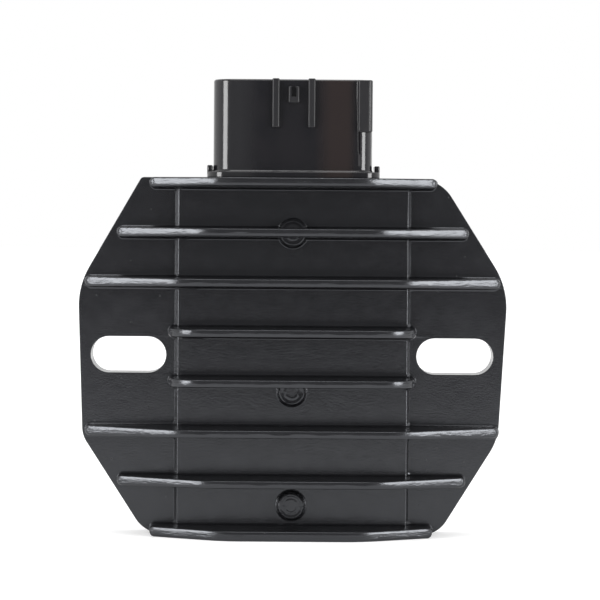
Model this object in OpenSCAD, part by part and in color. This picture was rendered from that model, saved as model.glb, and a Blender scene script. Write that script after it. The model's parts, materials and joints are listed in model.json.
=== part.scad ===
// Finned voltage regulator rectifier with a plug-in socket on its top edge.
// Millimetres. The origin is midway between the two mounting slots, on the rear
// mounting face. +Y points out of the rear face, the fins stand towards -Y, +Z is up.

/* [Mounting] */
// Distance between the centres of the two mounting slots
slot_spacing = 80; // [76:0.5:90]
// Length of a mounting slot, end to end
slot_l = 18.9; // [14:0.1:20]
// Width of a mounting slot
slot_w = 9; // [6.5:0.1:10]
// Thickness of the mounting ears
ear_t = 9; // [8:0.25:14]
// Metal left beside the outer end of the left slot
ear_rim_left = 3; // [2.5:0.1:6]
// Metal left beside the outer end of the right slot
ear_rim_right = 3.3; // [2.5:0.1:6]

/* [Plate outline] */
// Height of the plate above the slot centres
rise = 43.4; // [41:0.1:50]
// Depth of the plate below the slot centres
drop = 43.9; // [42:0.1:50]
// Left end of the top edge, from the centre line
top_left = 36.8; // [33:0.1:42]
// Right end of the top edge, from the centre line
top_right = 36; // [33:0.1:42]
// Left end of the bottom edge, from the centre line
bottom_left = 35.4; // [32:0.1:42]
// Right end of the bottom edge, from the centre line
bottom_right = 35.7; // [32:0.1:42]
// Height of both upper side corners above the slot centres
shoulder_up = 16.5; // [13:0.5:20]
// Depth of both lower side corners below the slot centres
shoulder_down = 20.3; // [16:0.1:24]
// How far the left side draws in at its lower corner
taper_left = 1.4; // [0:0.1:3]
// How far the right side draws in at its lower corner
taper_right = 2.3; // [0:0.1:3]
// Radius of the upper side corners
shoulder_r = 19; // [4:0.5:20]
// Radius of the left lower side corner
lower_left_r = 7; // [1:0.5:15]
// Radius of the right lower side corner
lower_right_r = 14; // [1:0.5:15]
// Radius of the right top corner, which the casting die rounds off
top_right_r = 6; // [0.5:0.5:8]
// Radius of the other three corners of the top and bottom edges
corner_r = 1.2; // [0.5:0.1:2]

/* [Platform and cavity] */
// Distance from the inner end of a slot to the raised platform
platform_gap = 2.05; // [1.2:0.05:4]
// Step of the platform above the ears
platform_step = 1.5; // [1:0.1:3]
// Width of the sloped side of that step
platform_slope = 0.8; // [0.3:0.1:1]
// Metal left at each side of the rear cavity, inside the platform's width
side_wall = 2; // [1:0.1:4]
// Thickness of the wall above the cavity
top_wall = 3.5; // [3:0.1:6]
// Thickness of the wall below the cavity
bottom_wall = 4; // [3:0.1:6]
// Metal between the cavity floor and the platform's face
floor_t = 2.3; // [2:0.1:2.8]
// Radius of the cavity's corners
cavity_r = 4; // [2:0.5:5]
// How far the resin's face lies inside the rear face
resin_recess = 0.4; // [0.2:0.1:0.8]

/* [Fins] */
// Height of the fins above the ears
fin_h = 16; // [12:0.5:22]
// Thickness of a fin at its root
fin_root_t = 2.6; // [2.2:0.1:3.4]
// Thickness of a fin at its tip
fin_tip_t = 1.8; // [1.4:0.1:2.1]
// Radius along the edges of a fin's tip
fin_edge_r = 0.5; // [0.2:0.1:0.6]
// Fall of a fin's sloped end, for each millimetre along the fin
fin_slope = 0.54; // [0.4:0.02:0.7]
// Height left at the ends of the longest fins
long_end_h = 3.3; // [2:0.1:5]
// Height left at the ends of the fins next to the top and bottom ones
middle_end_h = 4.1; // [2:0.1:6]
// Height left at the ends of the top and bottom fins
outer_end_h = 6.5; // [4:0.1:8]
// How far the two short fins run past the platform
short_overhang = 1; // [0.2:0.1:1.6]
// Radius of a fin's ends, seen from the front
fin_end_r = 1.2; // [0.3:0.1:1.25]

/* [Ejector bosses] */
// Diameter of a boss at its foot
boss_d = 7.2; // [5:0.1:8]
// Diameter of a boss at its face
boss_face_d = 6.5; // [4:0.1:7]
// Height of a boss above the platform
boss_h = 3; // [1:0.1:5]
// How far the middle boss lies below the fin over it
boss_below_fin = 3.1; // [2:0.1:5]

/* [Connector] */
// Width of the socket's shell
shell_w = 38.2; // [36:0.1:42]
// Depth of the socket's shell, front to back
shell_d = 20; // [18:0.1:20.5]
// Height of the shell's rim above the plate
shell_h = 23.5; // [20:0.1:30]
// Thickness of the shell's wall
shell_wall = 2; // [1.4:0.1:2.2]
// Radius of the shell's upright corners
shell_r = 3.5; // [2.5:0.1:5]
// Distance from the rear face to the back of the shell
shell_back = 2; // [1.6:0.1:2.5]
// How far the flange stands out around the shell, to the sides
flange_side = 1.7; // [1:0.1:3]
// How far the flange stands out in front of and behind the shell
flange_front = 1.2; // [0.8:0.1:1.5]
// Thickness of the flange
flange_t = 1.4; // [1.2:0.1:2]
// Thickness of the socket's floor, measured from the plate
floor_block = 5.2; // [4.8:0.1:7]
// Width of the raised lip at each end of the flange
lip_w = 1.3; // [0.8:0.1:1.6]
// Height of that lip above the flange
lip_h = 1.5; // [0.5:0.1:3]
// Length of that lip, front to back
lip_l = 14; // [8:0.5:16]
// Width of each latch guide rib
guide_w = 1.7; // [1:0.1:2.5]
// Distance between the centres of the two latch guide ribs
guide_spacing = 8.6; // [7:0.1:12]
// Length of the latch guide ribs, from the rim down
guide_l = 11.7; // [6:0.1:16]
// How far the ribs stand proud of the shell's face
rib_proud = 1; // [0.5:0.1:1.1]
// Width of the latch catch
catch_w = 2.6; // [2:0.1:4]
// Length of the latch catch
catch_l = 3.9; // [3:0.1:6]
// Distance from the rim down to the catch
catch_drop = 1.7; // [1:0.1:4]
// Thickness of the catch's two sides
catch_wall = 0.7; // [0.4:0.1:0.9]
// How far the latch guide ribs rise above the rim
guide_rise = 0.2; // [0:0.1:0.5]
// Width of the keying rib at the right corner
key_w = 3.4; // [1.5:0.1:4]
// Length of the keying rib, from the rim down
key_l = 12.5; // [6:0.1:16]
// Width of the neck that passes through the housing's top wall
neck_w = 30; // [28.5:0.1:31]
// Distance from the rear face to the back of the neck
neck_back = 2.4; // [2:0.1:2.6]
// Gap between the neck and the hole that it passes through
neck_gap = 0.2; // [0.1:0.05:0.4]
// How far the neck reaches into the cavity
neck_reach = 1; // [0.5:0.1:2]
// Thickness of the sealing gasket
gasket_t = 0.5; // [0.3:0.1:0.8]
// How far the gasket's edge lies inside the flange's edge
gasket_inset = 0.5; // [0.3:0.05:0.6]

/* [Terminals] */
// Width of a terminal blade in the socket
blade_w = 6.3; // [4.8:0.1:7]
// Thickness of a terminal blade
blade_t = 0.8; // [0.6:0.1:0.9]
// Length of the blades above the socket's floor
blade_l = 11; // [8:0.5:13]
// Distance between the blades of one row
blade_pitch = 10.5; // [9.5:0.1:11]
// Distance between the two rows of blades
row_gap = 7.2; // [6:0.1:8]
// Width of the tails of the power blades inside the cavity
tail_w = 5; // [3:0.1:6]
// Width of the tail of the sense blade
sense_tail_w = 2.4; // [1.5:0.1:3]
// Length over which a tail lies on its strap or bar
lap_l = 5; // [3:0.1:6]
// Length over which the sense tail lies on the board
sense_lap_l = 2.5; // [1.5:0.1:4]
// Length of the tails between the neck and the straps
tail_free_l = 4; // [2:0.1:5]
// Height of the front row's bends above the plate
bend_z = 1.3; // [1.2:0.1:1.6]
// Distance between the bends of the two rows
bend_step = 1.8; // [1.5:0.1:2]

/* [Power devices] */
// Thickness of the insulating plate on the cavity's floor
insulator_t = 0.8; // [0.5:0.05:1]
// Height of the insulating plate
insulator_l = 34; // [32:0.5:36]
// Thickness of the copper straps and bars
copper_t = 0.6; // [0.4:0.05:0.8]
// Width of the straps from the stator blades
strap_w = 6; // [4:0.1:8]
// Width of the positive and ground bars
bar_w = 3.5; // [2:0.1:4]
// Distance between two thyristors
scr_gap = 5.5; // [4.5:0.1:8]
// Side of a diode
diode_w = 8; // [6:0.1:9]
// Thickness of a thyristor or diode
device_t = 2.2; // [1.5:0.05:2.3]
// Distance between the thyristor row and the diode row
device_row = 16; // [14:0.1:17]
// Distance from the insulating plate's lower edge to the middle of the diode row
diode_margin = 9; // [6:0.5:12]
// Distance from the cavity's lower end to the insulating plate
insulator_margin = 4; // [2:0.5:6]
// Distance from the cavity's sides to the bars and the insulating plate
edge_gap = 1.5; // [0.5:0.1:2.5]
// Distance between a bar and the device beside it
device_gap = 1; // [0.5:0.1:1.5]

/* [Control board] */
// Distance between the control board and the bars beside it
board_gap = 2.5; // [1:0.1:5]
// Height of the control board
board_l = 22; // [18:0.5:24]
// Thickness of the control board
board_t = 1.2; // [0.8:0.05:1.3]
// Width of the control chip
chip_w = 9.9; // [6:0.1:12]
// Height of the control chip, without its leads
chip_l = 3.9; // [3:0.1:5]
// Thickness of the control chip
chip_t = 1.5; // [1:0.05:1.8]
// Diameter of the filter capacitor
capacitor_d = 6.3; // [4:0.1:7]
// Height of the filter capacitor
capacitor_h = 2.4; // [1.5:0.1:2.6]
// Width, height and thickness of the reference diode
zener_size = [4.3, 2.6, 1.4];
// Width, height and thickness of a gate resistor
resistor_size = [3.2, 1.6, 0.6];
// Distance of the board's parts from its edges
board_margin = 2.5; // [1:0.1:4]
// Width of a gate lead
lead_w = 1.2; // [0.6:0.1:2]
// Thickness of a gate lead
lead_t = 0.4; // [0.2:0.05:0.5]
// Gap between a gate lead and the ground bar
lead_gap = 0.5; // [0.3:0.1:2]

/* [Hidden] */
$fn = 48;
// Length by which a cut runs past the face that it opens
past = 1;
// Straight steps in a rounded corner
arc_steps = 6;

// Plate, platform and cavity
slot_half_run = (slot_l - slot_w) / 2;
side_left = slot_spacing / 2 + slot_l / 2 + ear_rim_left;
side_right = slot_spacing / 2 + slot_l / 2 + ear_rim_right;
platform_x = slot_spacing / 2 - slot_l / 2 - platform_gap;
platform_y = ear_t + platform_step;
cavity_x = platform_x - side_wall;
cavity_y = platform_y - floor_t;
cavity_top = rise - top_wall;
cavity_bottom = -drop + bottom_wall;

// Fins, counted from the bottom one up
fin_count = 8;
fin_last = fin_count - 1;
// Lower one of the two short fins, which only cross the platform
short_fin = fin_count / 2 - 1;
fin_pitch = (rise + drop - fin_root_t) / fin_last;
tip_y = ear_t + fin_h;
fin_inset = [1.8, 1.6, 0.5, 0, 0, 0.8, 1.7, 2.5];
fin_end_h = [
    outer_end_h, middle_end_h, long_end_h, fin_h,
    fin_h, long_end_h, middle_end_h, outer_end_h
];

// Connector
shell_y = -(shell_back + shell_d / 2);
rim_z = rise + shell_h;
socket_floor = rise + floor_block;
flange_w = shell_w + 2 * flange_side;
flange_d = shell_d + 2 * flange_front;
neck_front = cavity_y - neck_gap;
neck_bottom = cavity_top - neck_reach;

// Depths of the pieces that are stacked on the cavity's floor
strap_y = cavity_y - insulator_t;
device_y = strap_y - copper_t;
bar_y = device_y - device_t;
rear_tail_y = bar_y - copper_t;
front_tail_y = device_y;
board_y = rear_tail_y + board_t;

// Terminal blades
front_row_y = -shell_y + row_gap / 2;
rear_row_y = -shell_y - row_gap / 2;
front_level = rise + bend_z;
rear_level = front_level + bend_step;
blade_tip = socket_floor + blade_l;
strap_top = neck_bottom - tail_free_l;
lap_bottom = strap_top - lap_l;

// Rows and columns inside the cavity
riser_x = cavity_x - edge_gap - bar_w;
scr_w = 2 * (riser_x - device_gap - scr_gap) / 3;
column_x = riser_x - device_gap - scr_w / 2;
insulator_bottom = cavity_bottom + insulator_margin;
insulator_x = riser_x + bar_w;
diode_z = insulator_bottom + diode_margin;
scr_z = diode_z + device_row;
board_top = lap_bottom - device_gap;
board_bottom = board_top - board_l;
board_x = riser_x - board_gap;
chip_z = board_bottom + board_l / 2;

// A unit vector along v
function unit(v) = v / norm(v);

// Points of an arc of radius r that rounds the corner b between a and c
function corner(a, b, c, r) =
    let (u = unit(a - b), v = unit(c - b), half = acos(u * v) / 2)
    let (centre = b + unit(u + v) * r / sin(half))
    let (start = b + u * r / tan(half) - centre, end = b + v * r / tan(half) - centre)
    let (from = atan2(start.y, start.x), turn = atan2(end.y, end.x) - from)
    let (sweep = turn > 180 ? turn - 360 : turn < -180 ? turn + 360 : turn)
    [for (i = [0 : arc_steps]) centre + r * [cos(from + sweep * i / arc_steps),
                                             sin(from + sweep * i / arc_steps)]];

// A closed outline whose corners, each [x, y, radius], are rounded where radius isn't 0
function rounded(p) =
    let (n = len(p))
    [for (i = [0 : n - 1]) let (a = p[(i + n - 1) % n], b = p[i], c = p[(i + 1) % n])
        each b[2] == 0 ? [[b.x, b.y]] : corner([a.x, a.y], [b.x, b.y], [c.x, c.y], b[2])];

// A rectangle of width w and height h about the origin, with corners of radius r
function box_outline(w, h, r) = rounded([
    [-w / 2, -h / 2, r], [w / 2, -h / 2, r], [w / 2, h / 2, r], [-w / 2, h / 2, r]
]);

// The plate's outline, clockwise from its top left corner
plate_outline = rounded([
    [-top_left, rise, corner_r],
    [top_right, rise, top_right_r],
    [side_right, shoulder_up, shoulder_r],
    [side_right - taper_right, -shoulder_down, lower_right_r],
    [bottom_right, -drop, corner_r],
    [-bottom_left, -drop, corner_r],
    [-side_left + taper_left, -shoulder_down, lower_left_r],
    [-side_left, shoulder_up, shoulder_r]
]);

// Half width of the plate at height z, on its left side, with sharp corners
function half_width(z) =
    lookup(z, [[-drop, bottom_left], [-shoulder_down, side_left - taper_left],
               [shoulder_up, side_left], [rise, top_left]]);

// Height of the middle of fin i
function fin_z(i) = -drop + fin_root_t / 2 + i * fin_pitch;

// Half length of fin i
function fin_reach(i) =
    i == short_fin || i == short_fin + 1 ? platform_x + short_overhang
                                         : half_width(fin_z(i)) - fin_inset[i];

// Half length of the level part of fin i
function fin_flat(i) = fin_reach(i) - (fin_h - fin_end_h[i]) / fin_slope;

// Section of a fin as [y, z]: the outer faces of the top and bottom fins are square
// to the plate, every other face has draft
function fin_section(i) =
    let (root = fin_root_t / 2, tip = fin_tip_t / 2)
    let (low = i == 0 ? root : tip, high = i == fin_last ? root : tip)
    rounded([[-ear_t + past, -root, 0], [-tip_y, -low, fin_edge_r],
             [-tip_y, high, fin_edge_r], [-ear_t + past, root, 0]]);

// Stands a flat shape, drawn as [x, z], up and thickens it from depth y0 to y1
module slab(y0, y1) {
    translate([0, -y0, 0]) rotate([90, 0, 0]) linear_extrude(y1 - y0) children();
}

// A box that spans x0 to x1, depths y0 to y1 in front of the rear face, and z0 to z1
module block(x0, x1, y0, y1, z0, z1) {
    translate([x0, -y1, z0]) cube([x1 - x0, y1 - y0, z1 - z0]);
}

module fin(i) {
    reach = fin_reach(i);
    flat = fin_flat(i);
    intersection() {
        translate([0, 0, fin_z(i)]) rotate([90, 0, 90])
            linear_extrude(2 * reach + past, center = true) polygon(fin_section(i));
        translate([0, 0, fin_z(i) - fin_root_t]) linear_extrude(2 * fin_root_t)
            polygon([[-reach, past - ear_t], [-reach, -ear_t - fin_end_h[i]],
                     [-flat, -tip_y], [flat, -tip_y],
                     [reach, -ear_t - fin_end_h[i]], [reach, past - ear_t]]);
        translate([0, 0, fin_z(i)]) slab(ear_t - past, tip_y + past)
            polygon(box_outline(2 * reach, fin_root_t, min(fin_end_r, fin_root_t / 2)));
    }
}

module platform() {
    foot = platform_x + platform_slope;
    translate([0, 0, -drop]) linear_extrude(rise + drop)
        polygon([[-foot, -ear_t + past], [-foot, -ear_t], [-platform_x, -platform_y],
                 [platform_x, -platform_y], [foot, -ear_t], [foot, -ear_t + past]]);
}

module boss(z) {
    translate([0, -platform_y, z]) rotate([90, 0, 0])
        cylinder(h = boss_h, d1 = boss_d, d2 = boss_face_d);
}

module slot(side) {
    for (end = [-1, 1])
        translate([side * slot_spacing / 2 + end * slot_half_run, past, 0])
            rotate([90, 0, 0]) cylinder(h = ear_t + 2 * past, d = slot_w);
    block(side * slot_spacing / 2 - slot_half_run, side * slot_spacing / 2 + slot_half_run,
          -past, ear_t + past, -slot_w / 2, slot_w / 2);
}

// The cavity's space, from depth y0 in front of the rear face to its floor
module cavity(y0) {
    translate([0, 0, (cavity_top + cavity_bottom) / 2]) slab(y0, cavity_y)
        polygon(box_outline(2 * cavity_x, cavity_top - cavity_bottom, cavity_r));
}

module heatsink_casting() {
    color("#26272a") difference() {
        union() {
            slab(0, ear_t) polygon(plate_outline);
            platform();
            for (i = [0 : fin_last]) fin(i);
            boss(fin_z(fin_last - 1));
            boss(fin_z(short_fin) - boss_below_fin);
            boss((fin_z(0) + fin_z(1)) / 2);
        }
        for (side = [-1, 1]) slot(side);
        cavity(-past);
        block(-neck_w / 2 - neck_gap, neck_w / 2 + neck_gap, neck_back - neck_gap,
              cavity_y, cavity_top - past, rise + past);
    }
}

// A level slab of the connector: width w, depth d and corners r, from z0 to z1
module tier(w, d, r, z0, z1) {
    translate([0, shell_y, z0]) linear_extrude(z1 - z0) polygon(box_outline(w, d, r));
}

// One of the two latch guide ribs, upright on the shell's front face and centred at x
module latch_guide(x) {
    front = shell_back + shell_d;
    block(x - guide_w / 2, x + guide_w / 2, front - shell_wall / 2, front + rib_proud,
          rim_z - guide_l, rim_z + guide_rise);
}

// The keying rib, which squares off the shell's right front corner
module keying_rib() {
    front = shell_back + shell_d;
    block(shell_w / 2 - key_w, shell_w / 2, front - shell_r, front + rib_proud,
          rim_z - key_l, rim_z);
}

module latch_catch() {
    front = shell_back + shell_d;
    top = rim_z - catch_drop;
    difference() {
        block(-catch_w / 2, catch_w / 2, front - shell_wall / 2, front + rib_proud,
              top - catch_l, top);
        block(-catch_w / 2 + catch_wall, catch_w / 2 - catch_wall, front,
              front + rib_proud + past, top - catch_l + 2 * catch_wall, top + past);
    }
}

module terminals() {
    stator_blade_a();
    stator_blade_b();
    stator_blade_c();
    battery_blade();
    sense_blade();
    ground_blade();
}

// The neck that passes through the housing's top wall, from z0 to z1
module neck(z0, z1) {
    block(-neck_w / 2, neck_w / 2, neck_back, neck_front, z0, z1);
}

// The space of the gasket under the flange, from z0 to z1
module gasket_space(z0, z1) {
    tier(flange_w - 2 * gasket_inset, flange_d - 2 * gasket_inset,
         shell_r + flange_front - gasket_inset, z0, z1);
}

module socket_body() {
    difference() {
        union() {
            tier(flange_w, flange_d, shell_r + flange_front, rise, rise + flange_t);
            tier(shell_w, shell_d, shell_r, rise, rim_z);
            for (side = [-1, 1]) {
                translate([side * (flange_w - lip_w) / 2, shell_y, rise + flange_t / 2])
                    linear_extrude(flange_t / 2 + lip_h) square([lip_w, lip_l], center = true);
                latch_guide(side * guide_spacing / 2);
            }
            keying_rib();
            latch_catch();
        }
        tier(shell_w - 2 * shell_wall, shell_d - 2 * shell_wall, shell_r - shell_wall,
             socket_floor, rim_z + past);
        gasket_space(rise - past, rise + gasket_t);
    }
}

module connector_shell() {
    color("#1f2022") difference() {
        union() {
            socket_body();
            neck(neck_bottom, rise + flange_t);
        }
        terminals();
    }
}

module connector_gasket() {
    color("#141414") difference() {
        gasket_space(rise, rise + gasket_t);
        neck(rise - past, rise + gasket_t + past);
    }
}

// A terminal blade: up from its bend at level z in row y, and back and down at tail_y
module blade(x, y, level, tail_y, w, bottom) {
    half = blade_w / 2;
    tip = blade_t;
    color("#c9cbc6") union() {
        translate([x, 0, 0]) slab(y - blade_t / 2, y + blade_t / 2)
            polygon([[-half, level], [half, level], [half, blade_tip - 2 * tip],
                     [half - tip, blade_tip], [tip - half, blade_tip],
                     [-half, blade_tip - 2 * tip]]);
        block(x - half, x + half, tail_y - blade_t, y + blade_t / 2, level, level + blade_t);
        block(x - w / 2, x + w / 2, tail_y - blade_t, tail_y, bottom, level + blade_t);
    }
}

module stator_blade(x) {
    blade(x, front_row_y, front_level, front_tail_y, tail_w, lap_bottom);
}
module stator_blade_a() { stator_blade(-blade_pitch); }
module stator_blade_b() { stator_blade(0); }
module stator_blade_c() { stator_blade(blade_pitch); }
module battery_blade() {
    blade(-blade_pitch, rear_row_y, rear_level, rear_tail_y, tail_w, lap_bottom);
}
module sense_blade() {
    blade(0, rear_row_y, rear_level, rear_tail_y, sense_tail_w, board_top - sense_lap_l);
}
module ground_blade() {
    blade(blade_pitch, rear_row_y, rear_level, rear_tail_y, tail_w, lap_bottom);
}

module insulator_plate() {
    color("#e9e6df") block(-insulator_x, insulator_x, strap_y, cavity_y,
                           insulator_bottom, insulator_bottom + insulator_l);
}

// A strap from the stator blade of column i (-1, 0, 1) down under its two devices
module ac_link(i) {
    column = i * column_x;
    foot = i * blade_pitch;
    color("#b87333") union() {
        block(column - strap_w / 2, column + strap_w / 2, device_y, strap_y,
              diode_z - diode_w / 2, strap_top);
        block(min(column, foot) - strap_w / 2, max(column, foot) + strap_w / 2,
              device_y, strap_y, lap_bottom, strap_top);
    }
}
module ac_link_a() { ac_link(-1); }
module ac_link_b() { ac_link(0); }
module ac_link_c() { ac_link(1); }

// A square power device of side w in column i, centred at height z
module device(i, w, z) {
    block(i * column_x - w / 2, i * column_x + w / 2, bar_y, device_y, z - w / 2, z + w / 2);
}
module scr_a() { color("#2d2d30") device(-1, scr_w, scr_z); }
module scr_b() { color("#2d2d30") device(0, scr_w, scr_z); }
module scr_c() { color("#2d2d30") device(1, scr_w, scr_z); }
module diode_a() { color("#38383c") device(-1, diode_w, diode_z); }
module diode_b() { color("#38383c") device(0, diode_w, diode_z); }
module diode_c() { color("#38383c") device(1, diode_w, diode_z); }

// A bar across the rear of one row of devices, up one side, and in to its blade
module power_bar(z) {
    outer = riser_x + bar_w;
    foot = blade_pitch - tail_w / 2;
    color("#b87333") union() {
        block(-column_x - diode_w / 2, outer, rear_tail_y, bar_y, z - bar_w / 2, z + bar_w / 2);
        block(riser_x, outer, rear_tail_y, bar_y, z - bar_w / 2, strap_top);
        block(foot, outer, rear_tail_y, bar_y, lap_bottom, strap_top);
    }
}
module positive_bar() { mirror([1, 0, 0]) power_bar(diode_z); }
module ground_bar() { power_bar(scr_z); }

module control_board() {
    color("#2f5d3a") block(-board_x, board_x, rear_tail_y, board_y, board_bottom, board_top);
}

// A part of size [w, h, t] on the board's rear face, centred at x and z
module board_part(x, z, size) {
    block(x - size.x / 2, x + size.x / 2, rear_tail_y - size.z, rear_tail_y,
          z - size.y / 2, z + size.y / 2);
}
module control_chip() {
    color("#1a1a1c") board_part(0, chip_z, [chip_w, chip_l, chip_t]);
}
module filter_capacitor() {
    inset = board_margin + capacitor_d / 2;
    color("#c9cbc6") translate([board_x - inset, -rear_tail_y, board_top - inset])
        rotate([-90, 0, 0]) cylinder(h = capacitor_h, d = capacitor_d);
}
module reference_zener() {
    color("#1a1a1c")
        board_part(-board_x + board_margin + zener_size.x / 2,
                   board_top - board_margin - zener_size.y / 2, zener_size);
}
module gate_resistors() {
    color("#1a1a1c") for (i = [-1 : 1])
        board_part(i * column_x, board_bottom + board_margin + resistor_size.y / 2,
                   resistor_size);
}
module gate_leads() {
    color("#b87333") for (i = [-1 : 1])
        block(i * column_x - lead_w / 2, i * column_x + lead_w / 2, bar_y - lead_t, bar_y,
              scr_z + bar_w / 2 + lead_gap, board_bottom);
}

// Everything that the resin is poured around
module embedded() {
    terminals();
    insulator_plate();
    for (i = [-1 : 1]) ac_link(i);
    for (i = [-1 : 1]) {
        device(i, scr_w, scr_z);
        device(i, diode_w, diode_z);
    }
    positive_bar();
    ground_bar();
    control_board();
    control_chip();
    filter_capacitor();
    reference_zener();
    gate_resistors();
    gate_leads();
    neck(neck_bottom, cavity_top + past);
}

module potting_resin() {
    color("#171719") difference() {
        cavity(resin_recess);
        embedded();
    }
}

heatsink_casting();
connector_shell();
connector_gasket();
stator_blade_a();
stator_blade_b();
stator_blade_c();
battery_blade();
sense_blade();
ground_blade();
insulator_plate();
ac_link_a();
ac_link_b();
ac_link_c();
scr_a();
scr_b();
scr_c();
diode_a();
diode_b();
diode_c();
positive_bar();
ground_bar();
control_board();
control_chip();
filter_capacitor();
reference_zener();
gate_resistors();
gate_leads();
potting_resin();
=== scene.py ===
"""A black finned voltage regulator rectifier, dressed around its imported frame.

Lengths are in metres. The fins stand towards -Y, the rear mounting face is at Y 0.
"""

import json
import math

import bmesh
import bpy
from mathutils import Matrix, Vector, geometry, noise


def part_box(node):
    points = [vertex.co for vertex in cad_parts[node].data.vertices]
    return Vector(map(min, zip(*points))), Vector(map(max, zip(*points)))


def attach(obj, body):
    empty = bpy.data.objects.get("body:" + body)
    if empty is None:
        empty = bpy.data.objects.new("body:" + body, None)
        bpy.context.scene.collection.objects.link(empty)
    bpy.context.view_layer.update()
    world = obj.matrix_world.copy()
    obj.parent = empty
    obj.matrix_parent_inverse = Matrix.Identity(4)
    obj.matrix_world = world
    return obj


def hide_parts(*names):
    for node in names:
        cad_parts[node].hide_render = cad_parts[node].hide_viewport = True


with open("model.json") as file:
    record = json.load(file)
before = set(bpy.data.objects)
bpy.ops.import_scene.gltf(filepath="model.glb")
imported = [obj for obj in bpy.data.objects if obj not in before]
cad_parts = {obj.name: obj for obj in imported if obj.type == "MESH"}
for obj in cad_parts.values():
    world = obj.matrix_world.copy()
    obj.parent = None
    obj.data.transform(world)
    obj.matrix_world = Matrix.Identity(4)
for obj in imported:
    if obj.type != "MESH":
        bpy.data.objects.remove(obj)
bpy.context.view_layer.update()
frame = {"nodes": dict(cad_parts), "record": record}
nodes = frame["nodes"]
mm = 0.001

# Camera
# The photographer stands well back with a long lens, a little below the socket's height,
# and looks slightly down. The picture leans by almost half a degree.
camera_data = bpy.data.cameras.new("camera")
camera_data.sensor_width = 36
camera_data.lens = 171.94
camera = bpy.data.objects.new("camera", camera_data)
bpy.context.scene.collection.objects.link(camera)
bpy.context.scene.camera = camera
camera.matrix_world = (
    Matrix.Translation((-0.2 * mm, -709 * mm, 38 * mm))
    @ Matrix.Rotation(math.radians(-0.168), 4, "Z")
    @ Matrix.Rotation(math.radians(90 - 1.995), 4, "X")
    @ Matrix.Rotation(math.radians(0.4387), 4, "Z")
)

# Heatsink casting
# The housing is one aluminium die casting with black paint baked on. Its plate, ears,
# platform, fins and ejector bosses all come out of the die together.
casting_low, casting_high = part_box("heatsink_casting")
plate_top, plate_bottom = casting_high.z, casting_low.z
tip_y = casting_low.y
slots = frame["record"]["mounts"][0]["dims"]
slot_x = slots["spacing_x_mm"] * mm / 2
slot_r = slots["hole_r_mm"] * mm
slot_half_run = slots["slot_length_mm"] * mm / 2 - slot_r
rim_left, rim_right = 2.97 * mm, 3.27 * mm
side_left = slot_x + slot_half_run + slot_r + rim_left
side_right = slot_x + slot_half_run + slot_r + rim_right
fin_h, platform_step = 16 * mm, 1.5 * mm
ear_y = tip_y + fin_h
platform_y = ear_y - platform_step
plate_edge_r, plate_inset = 0.18 * mm, 0.02 * mm

# How the slots differ from the bolt pattern's: both are slightly narrower, the left one is
# shorter, and the right one sits nearer the middle
slot_inset, left_slot_short, right_slot_shift = 0.06 * mm, 0.17 * mm, 0.17 * mm

# The plate's corners from the top left one clockwise: x, z and the corner's radius
plate_corners = [
    (-37.05 * mm, plate_top, 1.2 * mm),
    (35.95 * mm, plate_top, 9.5 * mm),
    (side_right, 16.9 * mm, 19 * mm),
    (side_right - 2.15 * mm, -20.35 * mm, 14 * mm),
    (35.95 * mm, plate_bottom, 7.5 * mm),
    (-35.75 * mm, plate_bottom, 7.8 * mm),
    (1.2 * mm - side_left, -19.9 * mm, 7 * mm),
    (-side_left, 16.75 * mm, 19 * mm),
]


def arc(before, corner, after, r, steps):
    """Points of the arc of radius r that rounds the corner between two others."""
    u, v = (before - corner).normalized(), (after - corner).normalized()
    half = u.angle(v) / 2
    centre = corner + (u + v).normalized() * r / math.sin(half)
    start = corner + u * r / math.tan(half) - centre
    end = corner + v * r / math.tan(half) - centre
    turn = -start.angle_signed(end) / steps
    return [centre + Matrix.Rotation(turn * k, 2) @ start for k in range(steps + 1)]


def outline(corners, steps=8):
    """The closed outline through corners, each given as two places and a radius."""
    points = [Vector(corner[:2]) for corner in corners]
    line = []
    for i, corner in enumerate(corners):
        line += arc(points[i - 1], points[i], points[(i + 1) % len(points)], corner[2], steps)
    return line


def stadium(x, half_run, r, steps=16):
    """The outline of a level slot with round ends, centred at x."""
    line = []
    for end in (1, -1):
        for k in range(steps + 1):
            angle = math.pi * (k / steps - 0.5)
            side = Vector((math.cos(angle), math.sin(angle))) * r * end
            line.append(side + Vector((x + end * half_run, 0)))
    return line


def grown(line, distance):
    """A closed outline moved outwards by a distance, or inwards where it is negative."""
    pairs = list(zip(line, line[1:] + line[:1]))
    sign = math.copysign(1, sum(a.x * b.y - b.x * a.y for a, b in pairs))
    moved = []
    for i, point in enumerate(line):
        along = (line[(i + 1) % len(line)] - line[i - 1]).normalized()
        moved.append(point + Vector((along.y, -along.x)) * sign * distance)
    return moved


def edges(low, high, low_r, high_r, steps=4):
    """Outsets and levels of a slab whose edges are rounded, or flared where r is negative."""
    quarter = [k * math.pi / 2 / steps for k in range(steps + 1)]
    levels = [(-low_r * (1 - math.sin(a)), low + abs(low_r) * (1 - math.cos(a)))
              for a in quarter]
    levels += [(-high_r * (1 - math.cos(a)), high - abs(high_r) * (1 - math.sin(a)))
               for a in quarter]
    return levels


def slab(mesh, place, outer, holes, levels):
    """Adds a slab with holes, whose outline grows by an outset at each level.

    place(p, level) gives where a point p of an outline lies at a level.
    """
    rims = []
    for line in (outer, *holes):
        sign = 1 if line is outer else -1
        rings = [[mesh.verts.new(place(p, level)) for p in grown(line, outset * sign)]
                 for outset, level in levels]
        for below, above in zip(rings, rings[1:]):
            for i in range(len(line)):
                j = (i + 1) % len(line)
                mesh.faces.new((below[i], below[j], above[j], above[i]))
        rims.append((rings[0], rings[-1]))
    for side in (0, 1):
        ends = [rim[side] for rim in rims]
        verts = [vert for ring in ends for vert in ring]
        for corners in geometry.tessellate_polygon([[v.co for v in ring] for ring in ends]):
            mesh.faces.new([verts[i] for i in corners])


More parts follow.
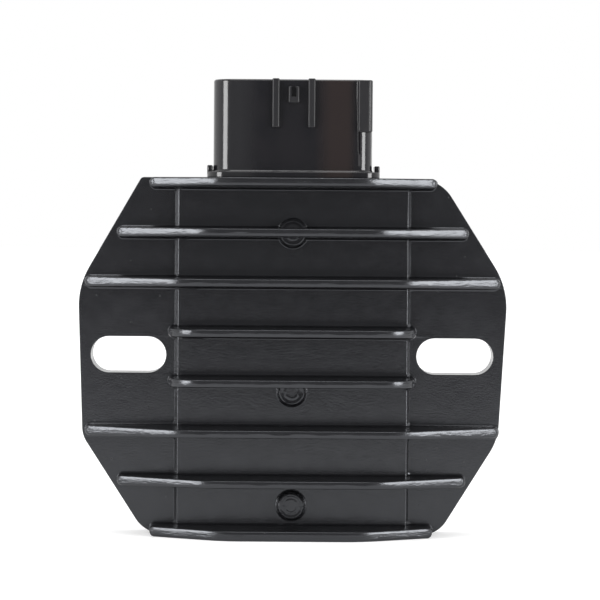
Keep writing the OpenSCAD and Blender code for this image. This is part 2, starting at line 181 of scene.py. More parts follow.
def upright(p, depth):
    """Places a point drawn as x, z at a depth."""
    return Vector((p.x, depth, p.y))


def raised(p, height):
    """Places a point drawn as x, y at a height."""
    return Vector((p.x, p.y, height))


def solid(name, mesh):
    """Closes the mesh's seams, turns its faces outwards and links it as an object."""
    bmesh.ops.remove_doubles(mesh, verts=mesh.verts, dist=1e-7)
    bmesh.ops.recalc_face_normals(mesh, faces=mesh.faces)
    data = bpy.data.meshes.new(name)
    mesh.to_mesh(data)
    mesh.free()
    made = bpy.data.objects.new(name, data)
    bpy.context.scene.collection.objects.link(made)
    return made


def combined(piece, tools, operation):
    """Joins the tools to a piece, or cuts them out of it, and removes the tools."""
    for tool in tools:
        change = piece.modifiers.new("change", "BOOLEAN")
        change.operation = operation
        change.solver = "EXACT"
        change.object = tool
    bpy.context.view_layer.update()
    depsgraph = bpy.context.evaluated_depsgraph_get()
    finished = bpy.data.meshes.new_from_object(piece.evaluated_get(depsgraph))
    piece.modifiers.clear()
    piece.data = finished
    for tool in tools:
        bpy.data.objects.remove(tool)


def smoothed(piece, degrees=32):
    """Shades a piece smooth, apart from its sharp edges and its large faces that lie
    square to an axis."""
    large = (1.5 * mm) ** 2
    piece.data.shade_smooth()
    for face in piece.data.polygons:
        if max(abs(part) for part in face.normal) > 0.99999 and face.area > large:
            face.use_smooth = False
    piece.data.set_sharp_from_angle(angle=math.radians(degrees))
    weighted = piece.modifiers.new("flat faces stay flat", "WEIGHTED_NORMAL")
    weighted.keep_sharp = True
    weighted.weight = 100


def block(x0, x1, y0, y1, z0, z1, r=0.2 * mm):
    """An upright block whose edges have a small radius."""
    mesh = bmesh.new()
    corner_r = 1.4 * r
    corners = [(x, y, corner_r) for x, y in ((x0, y0), (x1, y0), (x1, y1), (x0, y1))]
    slab(mesh, raised, outline(corners, 3), [], edges(z0, z1, r, r, 3))
    return solid("block", mesh)


def plate():
    """The flat plate with its two ears and their slots."""
    mesh = bmesh.new()
    holes = [stadium(-slot_x, slot_half_run - left_slot_short, slot_r - slot_inset),
             stadium(slot_x - right_slot_shift, slot_half_run, slot_r - slot_inset)]
    line = grown(outline(plate_corners, 12), -plate_inset)
    slab(mesh, upright, line, holes, edges(ear_y, 0, plate_edge_r, plate_edge_r))
    return solid("plate", mesh)


# The step at each side of the platform: its top edge's x, its slope's width, and the
# radius of its foot
platform_steps = {-1: (27.9 * mm, 0.75 * mm, 0.4 * mm), 1: (28.15 * mm, 0.6 * mm, 0.2 * mm)}
platform_edge_r = 0.45 * mm


def platform_side(side):
    """One side of the platform's section, from under the plate's face to the middle."""
    top_x, slope, foot_r = platform_steps[side]
    skirt = Vector((top_x + slope + 0.7 * mm, ear_y + 0.1 * mm))
    foot = Vector((top_x + slope, ear_y))
    edge = Vector((top_x, platform_y))
    middle = Vector((0, platform_y))
    half = [skirt + Vector((0, 2 * mm)), skirt]
    half += arc(skirt, foot, edge, foot_r, 5) + arc(foot, edge, middle, platform_edge_r, 5)
    return [Vector((p.x * side, p.y)) for p in half]


def platform():
    """The raised middle: its section, run down the plate."""
    section = platform_side(1) + platform_side(-1)[::-1]
    mesh = bmesh.new()
    rows = [[mesh.verts.new((p.x, p.y, z)) for p in section]
            for z in (plate_bottom + plate_edge_r, plate_top - plate_edge_r)]
    for i in range(len(section)):
        j = (i + 1) % len(section)
        mesh.faces.new((rows[0][i], rows[0][j], rows[1][j], rows[1][i]))
    mesh.faces.new(rows[0])
    mesh.faces.new(rows[1])
    return solid("platform", mesh)


# A fin's section: half its thickness, its radii, the turn of its crown, how far its walls
# lean upwards and wave, and how far the outermost walls lie inside the plate's edge
fin_half_root, fin_half_tip = 1.3 * mm, 0.9 * mm
fin_edge_r, fin_root_r = 0.35 * mm, 0.6 * mm
crown_turn = math.radians(12)
fin_lean, fin_sway = 0.22 * mm, 0.04 * mm
flush_inset = 0.04 * mm

# How far a fin's foot spreads past its fillet, and how deep it sits in the plate
foot_spread, foot_depth = 0.4 * mm, 0.3 * mm

# The fins' ends: their radius from the front, the long fins' slope and how softly it
# starts, and the short fins' reach and the curve that ends them
fin_end_r = 1.25 * mm
fin_slope = 0.525
slope_blend = 4 * mm
short_reach = 30.2 * mm
short_end_r, short_end_run = 10.2 * mm, 9.4 * mm

# Each fin from the bottom one up: half its length, and the height left at its ends
fins = [
    (34.5 * mm, 6.5 * mm),
    (42.5 * mm, 4.1 * mm),
    (50.4 * mm, 3.3 * mm),
    (short_reach, fin_h),
    (short_reach, fin_h),
    (50.6 * mm, 3.3 * mm),
    (42.8 * mm, 4.1 * mm),
    (34.9 * mm, 6.5 * mm),
]
fin_pitch = (plate_top - plate_bottom - 2 * fin_half_root) / (len(fins) - 1)
fin_z = [plate_bottom + fin_half_root + i * fin_pitch for i in range(len(fins))]


def base_y(x):
    """Depth of the face under a fin: the platform in the middle, the ears outside it."""
    top_x, slope = platform_steps[1 if x > 0 else -1][:2]
    step = (abs(x) - top_x) / slope
    return platform_y + (ear_y - platform_y) * min(1, max(0, step))


def fin_height(i, x):
    """Height of a fin above the ears: level, then falling to its ends."""
    reach, end_h = fins[i]
    if end_h == fin_h:
        over = max(0, abs(x) - (reach - short_end_run)) / short_end_r
        return fin_h - short_end_r * (1 - math.sqrt(1 - over ** 2))
    past = abs(x) - reach + (fin_h - end_h) / fin_slope
    if abs(past) < slope_blend:
        past = (past + slope_blend) ** 2 / (4 * slope_blend)
    return fin_h - fin_slope * max(0, past)


def fin_stations(i):
    """Places along a fin where its section is drawn, closer together at its ends."""
    reach = fins[i][0]
    ends = [reach - fin_end_r * (1 - math.cos(math.pi * k / 16)) for k in range(9)]
    inner = reach - fin_end_r
    count = round(inner / (0.8 * mm))
    half = [inner * k / count for k in range(count)] + ends[::-1]
    return [-x for x in half[:0:-1]] + half


def fin_tip():
    """A fin's tip from its side to its middle, as distances in from the side and down
    from the top: a round edge, then a slight crown."""
    crown_r = fin_edge_r + (fin_half_tip - fin_edge_r) / math.sin(crown_turn)
    edge_x = crown_r * math.sin(crown_turn)
    edge_drop = crown_r * (1 - math.cos(crown_turn))
    line = []
    for k in range(6):
        turn = math.pi / 2 + (crown_turn - math.pi / 2) * k / 5
        line.append((edge_x + fin_edge_r * (math.sin(turn) - math.sin(crown_turn)),
                     edge_drop + fin_edge_r * (math.cos(crown_turn) - math.cos(turn))))
    for share in (0.7, 0.4, 0.1):
        turn = crown_turn * share
        line.append((crown_r * math.sin(turn), crown_r * (1 - math.cos(turn))))
    return [(fin_half_tip - x, drop) for x, drop in line]


def fin(i):
    """A fin with draft, a crowned tip, and a fillet where it meets the plate."""
    quarter = [math.pi / 2 * k / 5 for k in range(6)]
    tip_points = fin_tip()
    section = [(fin_root_r + foot_spread, -foot_depth, 0)]
    section += [(fin_root_r * (1 - math.sin(a)), fin_root_r * (1 - math.cos(a)), 0)
                for a in quarter]
    section += [(0, fin_root_r * (1 - share) - tip_points[0][1] * share, share)
                for share in (0.25, 0.5, 0.75)]
    section += [(-inwards, -drop, 1) for inwards, drop in tip_points]
    reach = fins[i][0]
    draft = (fin_half_root - fin_half_tip) / fin_h
    mesh = bmesh.new()
    walls = {1: [], -1: []}
    for x in fin_stations(i):
        over = max(0, abs(x) - (reach - fin_end_r)) / fin_end_r
        across = math.sqrt(max(0, 1 - over ** 2))
        for side, columns in walls.items():
            flush = (i == 0 and side < 0) or (i == len(fins) - 1 and side > 0)
            column = []
            for flare, up, share in section:
                out = flare * (1 - 0.6 * over) if flare > 0 else flare
                base = base_y(x + math.copysign(over * out, x))
                tip = ear_y - fin_height(i, x + math.copysign(over, x) * min(0, out))
                y = base + (tip - base) * share - up
                lean = out - draft * max(0, ear_y - y)
                half = fin_half_root + (min(0, out) - flush_inset if flush else lean)
                rough = noise.noise(Vector((x / (5 * mm), side * 3 + i * 7, share * 2)))
                sway = fin_sway * share * (1 + rough) * across
                rise = 0 if flush else fin_lean * max(0, ear_y - y) / fin_h
                place = Vector((x + math.copysign(over, x) * lean, y + sway,
                                fin_z[i] + side * across * half + rise))
                column.append(mesh.verts.new(place))
            columns.append(column)
    for side, columns in walls.items():
        for left, right in zip(columns, columns[1:]):
            for k in range(len(section) - 1):
                mesh.faces.new((left[k], right[k], right[k + 1], left[k + 1]))
    upper, lower = walls[1], walls[-1]
    for k in (0, -1):
        for j in range(len(upper) - 1):
            mesh.faces.new((upper[j][k], upper[j + 1][k], lower[j + 1][k], lower[j][k]))
    for j in (0, -1):
        for k in range(len(section) - 1):
            mesh.faces.new((upper[j][k], upper[j][k + 1], lower[j][k + 1], lower[j][k]))
    return solid("fin", mesh)


# A boss from its foot to its face: radius and height, in millimetres
boss_section = [
    (5, -0.4), (4.1, -0.05), (3.65, 0.2), (3.45, 0.8), (3.2, 2.7), (3.05, 2.92),
    (2.85, 3), (2.6, 2.96), (2.4, 2.87), (1.9, 2.84), (1.7, 2.88), (1.3, 2.88), (1.1, 2.83),
]
boss_dent = 0.05
boss_below_fin = 2.4 * mm


def boss(z):
    """An ejector boss: a short round pad with a shallow ring on its face."""
    steps = 40
    mesh = bmesh.new()
    rings = []
    for r, up in boss_section:
        ring = []
        for k in range(steps):
            angle = 2 * math.pi * k / steps
            across, along = r * math.cos(angle), r * math.sin(angle)
            dent = noise.noise(Vector((across, z / mm, along)) * 1.1) * boss_dent * (up > 2)
            ring.append(mesh.verts.new((across * mm, platform_y + (dent - up) * mm,
                                        z + along * mm)))
        rings.append(ring)
    for low, high in zip(rings, rings[1:]):
        for k in range(steps):
            j = (k + 1) % steps
            mesh.faces.new((low[k], low[j], high[j], high[k]))
    mesh.faces.new(rings[0])
    mesh.faces.new(rings[-1])
    return solid("boss", mesh)


resin_low, resin_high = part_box("potting_resin")
cavity_r = 4 * mm
neck_x, neck_gap = 15 * mm, 0.2 * mm
neck_back, neck_front = -2.4 * mm, resin_low.y + neck_gap

# Length by which a cut runs past the face that it opens
overcut = 1 * mm


def cavity_line(steps=8):
    """The rear cavity's outline, with round corners."""
    x = resin_high.x
    return outline([(-x, resin_high.z, cavity_r), (x, resin_high.z, cavity_r),
                    (x, resin_low.z, cavity_r), (-x, resin_low.z, cavity_r)], steps)


def cavity():
    """The rear cavity's space."""
    mesh = bmesh.new()
    slab(mesh, upright, cavity_line(), [], [(0, resin_low.y), (0, overcut)])
    return solid("cavity", mesh)


casting = plate()
parts = [platform()] + [fin(i) for i in range(len(fins))]
parts += [boss(z) for z in (fin_z[6], fin_z[3] - boss_below_fin, (fin_z[0] + fin_z[1]) / 2)]
combined(casting, parts, "UNION")
neck_hole = block(-neck_x - neck_gap, neck_x + neck_gap, resin_low.y, neck_back + neck_gap,
                  resin_high.z - overcut, plate_top + overcut)
combined(casting, [cavity(), neck_hole], "DIFFERENCE")
casting.name = "finned_casting"
smoothed(casting)


def new_material(name):
    """A material, with its node tree and its shader."""
    made = bpy.data.materials.new(name)
    made.use_nodes = True
    return made, made.node_tree, made.node_tree.nodes["Principled BSDF"]


def add(tree, kind, inputs=None, **settings):
    """Adds a shader node, whose inputs are values or the outputs that feed them."""
    made = tree.nodes.new(kind)
    for name, value in settings.items():
        setattr(made, name, value)
    for name, value in (inputs or {}).items():
        if isinstance(value, bpy.types.NodeSocket):
            tree.links.new(value, made.inputs[name])
        else:
            made.inputs[name].default_value = value
    return made


def sum_of(tree, operation, a, b=0.0):
    """The output of a sum, product or other operation on two values."""
    return add(tree, "ShaderNodeMath", {0: a, 1: b}, operation=operation).outputs[0]


def spread(tree, value, low, high, to_low, to_high):
    """A value stretched from one range to another, and kept within it."""
    return add(tree, "ShaderNodeMapRange", {
        "Value": value, "From Min": low, "From Max": high,
        "To Min": to_low, "To Max": to_high,
    }).outputs["Result"]


def mixed(tree, share, a, b):
    """A colour that goes from a to b as the share goes from 0 to 1."""
    return add(tree, "ShaderNodeMix", {0: share, 6: a, 7: b}, data_type="RGBA").outputs[2]


def shared_effect(name, inputs, outputs):
    """A node group for an effect, with the value that each input starts at."""
    group = bpy.data.node_groups.new(name, "ShaderNodeTree")
    for socket, value in inputs.items():
        made = group.interface.new_socket(socket, in_out="INPUT", socket_type="NodeSocketFloat")
        made.default_value = value
    for socket in outputs:
        group.interface.new_socket(socket, in_out="OUTPUT", socket_type="NodeSocketFloat")
    given = group.nodes.new("NodeGroupInput").outputs
    result = group.nodes.new("NodeGroupOutput").inputs
    return group, given, result


def placed(tree, group, values):
    """A shared effect placed in a material with its own values."""
    return add(tree, "ShaderNodeGroup", values, node_tree=group).outputs


def noise_of_size(tree, size_mm, detail):
    """Noise whose features are about a size across, fixed to the object."""
    place = add(tree, "ShaderNodeTexCoord").outputs["Object"]
    scale = sum_of(tree, "DIVIDE", 1 / mm, size_mm)
    return add(tree, "ShaderNodeTexNoise",
               {"Vector": place, "Scale": scale, "Detail": detail}).outputs["Fac"]


def surface_grain():
    """The fine grain and slow waves of a sprayed or moulded surface."""
    group, given, result = shared_effect(
        "surface_grain", {"Grain mm": 0.4, "Wave mm": 3.0, "Wave share": 0.5},
        ["Height", "Patch"])
    grain = noise_of_size(group, given["Grain mm"], 3.0)
    wave = noise_of_size(group, given["Wave mm"], 2.0)
    waves = sum_of(group, "MULTIPLY", wave, given["Wave share"])
    group.links.new(sum_of(group, "ADD", grain, waves), result["Height"])
    group.links.new(wave, result["Patch"])
    return group


def specks():
    """Tiny grains of dust or pits, thinly scattered."""
    group, given, result = shared_effect(
        "specks", {"Spacing mm": 2.0, "Radius": 0.1, "Share": 0.2}, ["Mask"])
    place = add(group, "ShaderNodeTexCoord").outputs["Object"]
    scale = sum_of(group, "DIVIDE", 1 / mm, given["Spacing mm"])
    cells = add(group, "ShaderNodeTexVoronoi", {"Vector": place, "Scale": scale})
    pick = add(group, "ShaderNodeSeparateColor", {"Color": cells.outputs["Color"]})
    chosen = sum_of(group, "LESS_THAN", pick.outputs["Red"], given["Share"])
    reach = sum_of(group, "MULTIPLY", given["Radius"], pick.outputs["Green"])
    inside = sum_of(group, "LESS_THAN", cells.outputs["Distance"], reach)
    group.links.new(sum_of(group, "MULTIPLY", chosen, inside), result["Mask"])
    return group


grain_effect, speck_effect = surface_grain(), specks()


def bumped(tree, shader, height, depth):
    """Feeds a shader's normal with a height of a given depth."""
    bump = add(tree, "ShaderNodeBump", {"Height": height, "Distance": depth, "Strength": 1.0})
    tree.links.new(bump.outputs["Normal"], shader.inputs["Normal"])


def baked_black_paint():
    paint, tree, shader = new_material("baked_black_paint")
    grain = placed(tree, grain_effect, {"Grain mm": 0.45, "Wave mm": 3.5, "Wave share": 1.4})
    dust = placed(tree, speck_effect, {"Spacing mm": 2.2, "Radius": 0.09, "Share": 0.3})["Mask"]
    black, worn = (0.0122, 0.0123, 0.0138, 1), (0.0145, 0.0146, 0.0163, 1)
    tone = mixed(tree, spread(tree, grain["Patch"], 0.35, 0.65, 0, 1), black, worn)
    dust_and_sheen_grey = (0.06, 0.06, 0.06, 1)
    tree.links.new(mixed(tree, dust, tone, dust_and_sheen_grey), shader.inputs["Base Color"])
    gloss = spread(tree, grain["Patch"], 0.3, 0.7, 0.17, 0.22)
    shader.inputs["IOR"].default_value = 1.6
    shader.inputs["Specular Tint"].default_value = (0.91, 0.94, 1, 1)
    tree.links.new(gloss, shader.inputs["Roughness"])
    place = add(tree, "ShaderNodeTexCoord").outputs["Object"]
    drawn = add(tree, "ShaderNodeVectorMath",
                {0: place, 1: (0.4 / mm, 1 / mm, 2.2 / mm)}, operation="MULTIPLY")
    runs = add(tree, "ShaderNodeTexNoise",
               {"Vector": drawn.outputs["Vector"], "Scale": 1.0, "Detail": 3.0}).outputs["Fac"]
    facing = add(tree, "ShaderNodeNewGeometry").outputs["True Normal"]
    sideways = add(tree, "ShaderNodeSeparateXYZ", {"Vector": facing}).outputs["X"]
    sloped = spread(tree, sum_of(tree, "ABSOLUTE", sideways), 0.1, 0.4, 0, 3.5)
    height = sum_of(tree, "ADD", grain["Height"], sum_of(tree, "MULTIPLY", runs, sloped))
    bumped(tree, shader, sum_of(tree, "ADD", height, dust), 0.018 * mm)
    return paint


casting.data.materials.clear()
casting.data.materials.append(baked_black_paint())
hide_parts("heatsink_casting")
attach(casting, "root")

# Connector socket
# The socket is one moulding of glass-filled nylon, polished on its faces. Its flange sits
# on the housing, its ribs guide the plug's latch, and its neck reaches into the resin.
shell_low, shell_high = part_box("connector_shell")
flange_x, flange_overhang, flange_t = shell_high.x, 1.2 * mm, 1.4 * mm
flange_side = 1.7 * mm
shell_x = flange_x - flange_side
shell_off = -0.2 * mm
shell_front, shell_back = shell_low.y + flange_overhang, shell_high.y - flange_overhang
rib_rise, rib_proud = 0.2 * mm, 1 * mm
rim_z = shell_high.z - rib_rise
flange_top = plate_top + flange_t
wall = 2 * mm
socket_floor = plate_top + 5.2 * mm
gasket_t, gasket_inset = 0.5 * mm, 0.5 * mm
guide_x, guide_w, guide_l = 4.3 * mm, 1.7 * mm, 11.7 * mm
key_w, key_l = 3.4 * mm, 12.5 * mm
lip_outer, lip_inner = flange_x - 0.04 * mm, flange_x - 1.3 * mm
lip_half_l, lip_h = 7 * mm, 1.5 * mm


def front_rounded(x, front, back, left_r, right_r, back_r):
    """The outline of the socket seen from above, with its own radius at each corner."""
    return outline([(-x, front, left_r), (x, front, right_r), (x, back, back_r),
                    (-x, back, back_r)], 10)


def tube(name, line, levels):
    """An upright solid on an outline that grows by an outset at each level."""
    mesh = bmesh.new()
    slab(mesh, raised, line, [], levels)
    return solid(name, mesh)


def rib(x, width, length, top):
    """An upright rib on the socket's front face, from a top down."""
    return block(x - width / 2, x + width / 2, shell_front - rib_proud,
                 shell_front + wall / 2, top - length, top, 0.25 * mm)


def latch_catch():
    """The catch that holds the plug's latch: three low walls around a pocket."""
    top, width, length, side = rim_z - 1.7 * mm, 2.6 * mm, 3.9 * mm, 0.7 * mm
    catch = rib(0, width, length, top)
    pocket = block(side - width / 2, width / 2 - side, shell_front - 2 * rib_proud,
                   shell_front, top - length + 2 * side, top + overcut, 0.1 * mm)
    combined(catch, [pocket], "DIFFERENCE")
    return catch


shell_line = [p + Vector((shell_off, 0)) for p in
              front_rounded(shell_x, shell_front, shell_back, 5.5 * mm, 4 * mm, 3.5 * mm)]
flange_line = front_rounded(flange_x, shell_low.y, shell_high.y, 5.7 * mm, 4.7 * mm, 4.7 * mm)
bore_line = grown(shell_line, -wall)
shell = tube("socket_moulding", shell_line,
             edges(flange_top - 0.05 * mm, rim_z, -0.7 * mm, 0.55 * mm))
flange = tube("flange", flange_line, edges(plate_top, flange_top, 0.15 * mm, 0.3 * mm))
neck = block(-neck_x, neck_x, neck_front, neck_back, shell_low.z, flange_top - 0.1 * mm)
key_x, key_back = shell_off + shell_x - 0.03 * mm, shell_front + 4 * mm
keying_rib = tube("keying_rib", outline([
    (key_x - key_w, shell_front - rib_proud, 0.35 * mm),
    (key_x, shell_front - rib_proud, 1.2 * mm),
    (key_x, key_back, 0.3 * mm),
    (key_x - key_w, key_back, 0.3 * mm),
]), edges(rim_z - key_l, rim_z - 0.1 * mm, 0.3 * mm, 0.3 * mm))
shell_parts = [flange, neck, latch_catch(), keying_rib]
shell_parts += [rib(side * guide_x, guide_w, guide_l, shell_high.z) for side in (-1, 1)]
middle_y = (shell_front + shell_back) / 2
for side in (-1, 1):
    ends = sorted((side * lip_outer, side * lip_inner))
    shell_parts.append(block(*ends, middle_y - lip_half_l, middle_y + lip_half_l,
                             plate_top + flange_t / 2, flange_top + lip_h, 0.3 * mm))
combined(shell, shell_parts, "UNION")
gasket_line = front_rounded(flange_x - gasket_inset, shell_low.y + gasket_inset,
                            shell_high.y - gasket_inset, 5 * mm, 4.2 * mm, 4.2 * mm)
lead_in = 0.5 * mm
bore_levels = edges(socket_floor, rim_z, 0.4 * mm, -lead_in) + [(lead_in, rim_z + overcut)]
shell_cuts = [tube("bore", bore_line, bore_levels)]
gasket_space = tube("gasket_space", gasket_line,
                    [(0, plate_top - overcut), (0, plate_top + gasket_t)])
combined(gasket_space, [block(-neck_x, neck_x, neck_front, neck_back, plate_top - 2 * mm,
                              plate_top + 2 * mm)], "DIFFERENCE")
shell_cuts.append(gasket_space)
combined(shell, shell_cuts, "DIFFERENCE")
shell.name = "socket_moulding"
smoothed(shell)


def black_nylon():
    nylon, tree, shader = new_material("black_nylon")
    grain = placed(tree, grain_effect, {"Grain mm": 0.7, "Wave mm": 6.0, "Wave share": 3.0})
    black, cloudy = (0.0085, 0.0085, 0.0105, 1), (0.011, 0.0105, 0.0125, 1)
    # The second pair: a blue-grey that is a painted reflection, and a brown
    dust_and_sheen_grey, brown = (0.0185, 0.0185, 0.0205, 1), (0.021, 0.0155, 0.015, 1)
    place = add(tree, "ShaderNodeTexCoord").outputs["Object"]
    at = add(tree, "ShaderNodeSeparateXYZ", {"Vector": place}).outputs
    tone = mixed(tree, spread(tree, grain["Patch"], 0.35, 0.65, 0, 1), black, cloudy)
    # Painted reflection: the front face turns a lighter blue-grey towards its left corner,
    # standing in for a reflection there. Right of its middle it turns browner.
    front = spread(tree, at["Y"], shell_front, shell_front + 4 * mm, 1, 0)
    left = spread(tree, at["X"], -8 * mm, -13 * mm, 0, 1)
    right = sum_of(tree, "SUBTRACT", spread(tree, at["X"], 5 * mm, 9 * mm, 0, 1),
                   spread(tree, at["X"], 13 * mm, 15 * mm, 0, 1))
    tone = mixed(tree, sum_of(tree, "MULTIPLY", front, left), tone, dust_and_sheen_grey)
    tone = mixed(tree, sum_of(tree, "MULTIPLY", front, right), tone, brown)
    tree.links.new(tone, shader.inputs["Base Color"])
    ribs = sum_of(tree, "LESS_THAN", at["Y"], shell_front - 0.2 * mm)
    above = sum_of(tree, "GREATER_THAN", at["Z"], flange_top + 0.5 * mm)
    proud = sum_of(tree, "MULTIPLY", ribs, above)
    polished = spread(tree, grain["Patch"], 0.3, 0.7, 0.1, 0.14)
    tree.links.new(sum_of(tree, "ADD", polished, sum_of(tree, "MULTIPLY", proud, 0.3)),
                   shader.inputs["Roughness"])
    bumped(tree, shader, grain["Height"], 0.008 * mm)
    return nylon


shell.data.materials.clear()
shell.data.materials.append(black_nylon())
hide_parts("connector_shell")
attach(shell, "root")

# Socket gasket
# A thin ring of black rubber is squeezed between the socket's flange and the housing. It
# runs round the neck, so that water can't get in there.


def dressed(material, *names):
    """Gives nodes of the frame their material, and softens their edges."""
    for name in names:
        node = nodes[name]
        for slot in node.material_slots:
            slot.material = material
        soften = node.modifiers.new("softened edges", "BEVEL")
        soften.width = 0.08 * mm
        soften.segments = 2
        soften.limit_method = "ANGLE"


def sealing_rubber():
    rubber, tree, shader = new_material("sealing_rubber")
    grain = placed(tree, grain_effect, {"Grain mm": 0.25, "Wave mm": 2.0, "Wave share": 0.4})
    tone = mixed(tree, grain["Patch"], (0.016, 0.016, 0.016, 1), (0.026, 0.026, 0.026, 1))
    tree.links.new(tone, shader.inputs["Base Color"])
    shader.inputs["Roughness"].default_value = 0.7
    bumped(tree, shader, grain["Height"], 0.02 * mm)
    return rubber


dressed(sealing_rubber(), "connector_gasket")

# Terminal blades
# Six tab terminals are stamped from brass sheet and tinned. They stand in the socket's
# floor, and their tails bend down into the housing.


def rolled_metal():
    """The fine lines that rolling leaves on a strip, and its duller patches."""
    group, given, result = shared_effect(
        "rolled_metal", {"Line mm": 0.08, "Length mm": 6.0, "Patch mm": 2.0},
        ["Height", "Patch"])
    place = add(group, "ShaderNodeTexCoord").outputs["Object"]
    across = sum_of(group, "DIVIDE", 1 / mm, given["Line mm"])
    along = sum_of(group, "DIVIDE", 1 / mm, given["Length mm"])
    stretch = add(group, "ShaderNodeCombineXYZ", {"X": across, "Y": across, "Z": along})
    drawn = add(group, "ShaderNodeVectorMath",
                {0: place, 1: stretch.outputs["Vector"]}, operation="MULTIPLY")
    lines = add(group, "ShaderNodeTexNoise",
                {"Vector": drawn.outputs["Vector"], "Scale": 1.0, "Detail": 2.0})
    group.links.new(lines.outputs["Fac"], result["Height"])
    group.links.new(noise_of_size(group, given["Patch mm"], 3.0), result["Patch"])
    return group


rolled_effect = rolled_metal()


def strip_metal(name, bright, dull, low, high):
    """A metal strip between a bright and a dull colour and two roughnesses."""
    metal, tree, shader = new_material(name)
    rolled = placed(tree, rolled_effect, {"Line mm": 0.08, "Length mm": 6.0, "Patch mm": 2.0})
    patch = spread(tree, rolled["Patch"], 0.35, 0.65, 0, 1)
    tree.links.new(mixed(tree, patch, bright, dull), shader.inputs["Base Color"])
    tree.links.new(spread(tree, rolled["Patch"], 0.3, 0.7, low, high),
                   shader.inputs["Roughness"])
    shader.inputs["Metallic"].default_value = 1
    bumped(tree, shader, rolled["Height"], 0.006 * mm)
    return metal


tinned = strip_metal("tinned_brass", (0.76, 0.75, 0.71, 1), (0.6, 0.6, 0.57, 1), 0.25, 0.42)
dressed(tinned, "stator_blade_a", "stator_blade_b", "stator_blade_c", "battery_blade",
        "sense_blade", "ground_blade", "filter_capacitor")

# Power stage
# Under the resin, a ceramic plate carries three thyristors and three diodes. Copper
# straps and bars are soldered to them.


def fired_ceramic():
    ceramic, tree, shader = new_material("fired_ceramic")
    grain = placed(tree, grain_effect, {"Grain mm": 0.3, "Wave mm": 4.0, "Wave share": 0.5})
    tone = mixed(tree, grain["Patch"], (0.8, 0.79, 0.75, 1), (0.88, 0.87, 0.84, 1))
    tree.links.new(tone, shader.inputs["Base Color"])
    shader.inputs["Roughness"].default_value = 0.6
    bumped(tree, shader, grain["Height"], 0.01 * mm)
    return ceramic


def device_epoxy():
    epoxy, tree, shader = new_material("device_epoxy")
    grain = placed(tree, grain_effect, {"Grain mm": 0.2, "Wave mm": 3.0, "Wave share": 0.5})
    tone = mixed(tree, grain["Patch"], (0.022, 0.022, 0.024, 1), (0.038, 0.038, 0.041, 1))
    tree.links.new(tone, shader.inputs["Base Color"])
    shader.inputs["Roughness"].default_value = 0.6
    bumped(tree, shader, grain["Height"], 0.015 * mm)
    return epoxy


copper = strip_metal("copper_strip", (0.78, 0.44, 0.29, 1), (0.6, 0.32, 0.2, 1), 0.3, 0.5)
dressed(fired_ceramic(), "insulator_plate")
dressed(device_epoxy(), "scr_a", "scr_b", "scr_c", "diode_a", "diode_b", "diode_c",
        "control_chip", "reference_zener", "gate_resistors")
dressed(copper, "ac_link_a", "ac_link_b", "ac_link_c", "positive_bar", "ground_bar",
        "gate_leads")

# Control board
# A small board of glass-filled epoxy carries the regulating circuit, under green lacquer.
# Copper leads join it to the thyristors.


def board_lacquer():
    lacquer, tree, shader = new_material("board_lacquer")
    grain = placed(tree, grain_effect, {"Grain mm": 0.5, "Wave mm": 3.0, "Wave share": 0.8})
    tone = mixed(tree, grain["Patch"], (0.025, 0.1, 0.045, 1), (0.05, 0.16, 0.075, 1))
    tree.links.new(tone, shader.inputs["Base Color"])
    shader.inputs["Roughness"].default_value = 0.35
    bumped(tree, shader, grain["Height"], 0.01 * mm)
    return lacquer


dressed(board_lacquer(), "control_board")

# Potting resin
# Black epoxy is poured into the rear cavity over everything in it, and sets just below
# the mounting face. It creeps a little way up the cavity's wall.


def creeping_edge():
    """The ring of resin that wets the wall of the cavity."""
    creep, climb, sunk, steps = 0.9 * mm, 0.3 * mm, 0.2 * mm, 6
    line = cavity_line(12)
    mesh = bmesh.new()
    rings = []
    for k in range(steps + 1):
        share = k / steps
        inner = grown(line, -creep * (1 - share))
        level = resin_high.y + climb * share ** 2.2
        rings.append([mesh.verts.new(upright(p, level)) for p in inner])
    for base in (line, grown(line, -creep)):
        rings.append([mesh.verts.new(upright(p, resin_high.y - sunk)) for p in base])
    for a, b in zip(rings, rings[1:] + rings[:1]):
        for i in range(len(line)):
            j = (i + 1) % len(line)
            mesh.faces.new((a[i], a[j], b[j], b[i]))
    return solid("resin_creeping_edge", mesh)


def cast_resin():
    resin, tree, shader = new_material("cast_resin")
    grain = placed(tree, grain_effect, {"Grain mm": 1.2, "Wave mm": 14.0, "Wave share": 9.0})
    pits = placed(tree, speck_effect,
                  {"Spacing mm": 5.0, "Radius": 0.14, "Share": 0.25})["Mask"]
    tone = mixed(tree, grain["Patch"], (0.012, 0.012, 0.013, 1), (0.018, 0.018, 0.02, 1))
    tree.links.new(tone, shader.inputs["Base Color"])
    tree.links.new(spread(tree, grain["Patch"], 0.3, 0.7, 0.16, 0.3),
                   shader.inputs["Roughness"])
    height = sum_of(tree, "SUBTRACT", grain["Height"], sum_of(tree, "MULTIPLY", pits, 6.0))
    bumped(tree, shader, height, 0.02 * mm)
    return resin


resin_finish = cast_resin()
for slot in nodes["potting_resin"].material_slots:
    slot.material = resin_finish
creep = creeping_edge()
creep.data.shade_smooth()
creep.data.materials.append(resin_finish)
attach(creep, "root")

# Floor
# The object stands on its lowest fin on a sheet of white paper, which shows the white of
# the background and keeps a faint shadow under the object. The table ends in front of it.


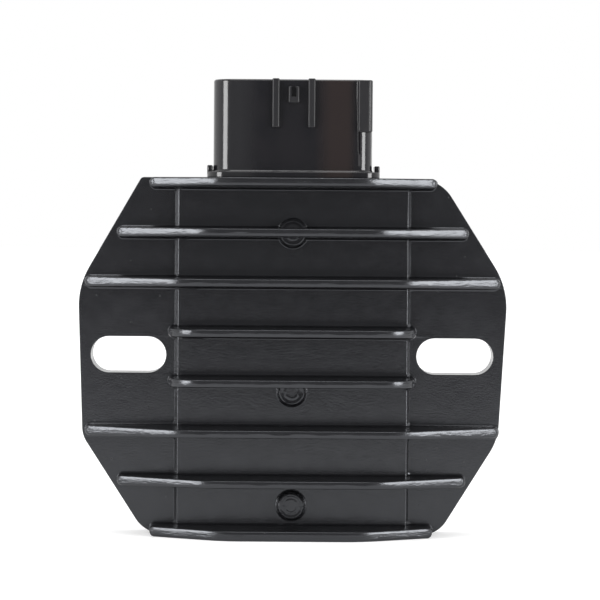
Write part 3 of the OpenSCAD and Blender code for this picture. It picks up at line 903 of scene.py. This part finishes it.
def white_paper():
    paper, tree, shader = new_material("white_paper")
    shader.inputs["Base Color"].default_value = (0.8, 0.8, 0.8, 1)
    shader.inputs["Roughness"].default_value = 0.9
    shader.inputs["Specular IOR Level"].default_value = 0
    shader.inputs["Emission Color"].default_value = (1, 1, 1, 1)
    rays = add(tree, "ShaderNodeLightPath").outputs
    seen = sum_of(tree, "MAXIMUM", rays["Is Camera Ray"], rays["Is Transmission Ray"])
    place = add(tree, "ShaderNodeTexCoord").outputs["Object"]
    behind = add(tree, "ShaderNodeSeparateXYZ", {"Vector": place}).outputs["Y"]
    near, far = 0.2, 1.5
    white = sum_of(tree, "MULTIPLY", seen, spread(tree, behind, near, far, 0.45, 0.7))
    gloss = sum_of(tree, "MULTIPLY", rays["Is Glossy Ray"],
                   spread(tree, behind, near, far, 0.17, 0.7))
    tree.links.new(sum_of(tree, "MAXIMUM", white, gloss), shader.inputs["Emission Strength"])
    return paper


def paper_sheet():
    """A sheet of paper that reaches past the picture, up to the table's front edge."""
    mesh = bmesh.new()
    reach, front, cells = 4.0, 0.5, 8
    bmesh.ops.create_grid(mesh, x_segments=cells, y_segments=cells, size=reach)
    for vert in mesh.verts:
        share = (vert.co.y + reach) / (2 * reach)
        vert.co.y = share * reach - (1 - share) * front
        vert.co.z = plate_bottom
    return solid("paper_sheet", mesh)


paper = paper_sheet()
paper.data.materials.append(white_paper())

# Studio light
# Two tall softboxes stand at the sides and a wide one hangs above. The wall behind the
# camera is dim, so that the black paint stays black from the front.


def softbox(name, place, aim, size, size_y, watts):
    """A rectangular lamp at a place, turned towards an aim."""
    lamp = bpy.data.lights.new(name, "AREA")
    lamp.shape = "RECTANGLE"
    lamp.size, lamp.size_y = size, size_y
    lamp.energy = watts
    made = bpy.data.objects.new(name, lamp)
    made.location = place
    made.rotation_euler = (Vector(aim) - Vector(place)).to_track_quat("-Z", "Y").to_euler()
    bpy.context.scene.collection.objects.link(made)


side_angle, side_distance = math.radians(57), 0.9
for side, name in ((-1, "left_softbox"), (1, "right_softbox")):
    place = (side * side_distance * math.sin(side_angle),
             -side_distance * math.cos(side_angle), 0.12)
    softbox(name, place, (0, 0, 0), 0.36, 0.5, 6)
softbox("top_softbox", (0, -0.15, 1.1), (0, 0, 0), 0.7, 0.5, 4)

world = bpy.data.worlds.new("studio")
bpy.context.scene.world = world
world.use_nodes = True
sky = world.node_tree
direction = add(sky, "ShaderNodeTexCoord").outputs["Generated"]
toward = add(sky, "ShaderNodeSeparateXYZ", {"Vector": direction}).outputs["Y"]
room = spread(sky, toward, -0.9, 0.2, 0.225, 1.0)
rays = add(sky, "ShaderNodeLightPath").outputs
seen = sum_of(sky, "MAXIMUM", rays["Is Camera Ray"], rays["Is Transmission Ray"])
level = add(sky, "ShaderNodeMix", {0: seen, 2: room, 3: 1.0}, data_type="FLOAT").outputs[0]
sky.nodes["Background"].inputs["Color"].default_value = (1, 1, 1, 1)
sky.links.new(level, sky.nodes["Background"].inputs["Strength"])

view = bpy.context.scene.view_settings
view.view_transform = "Standard"
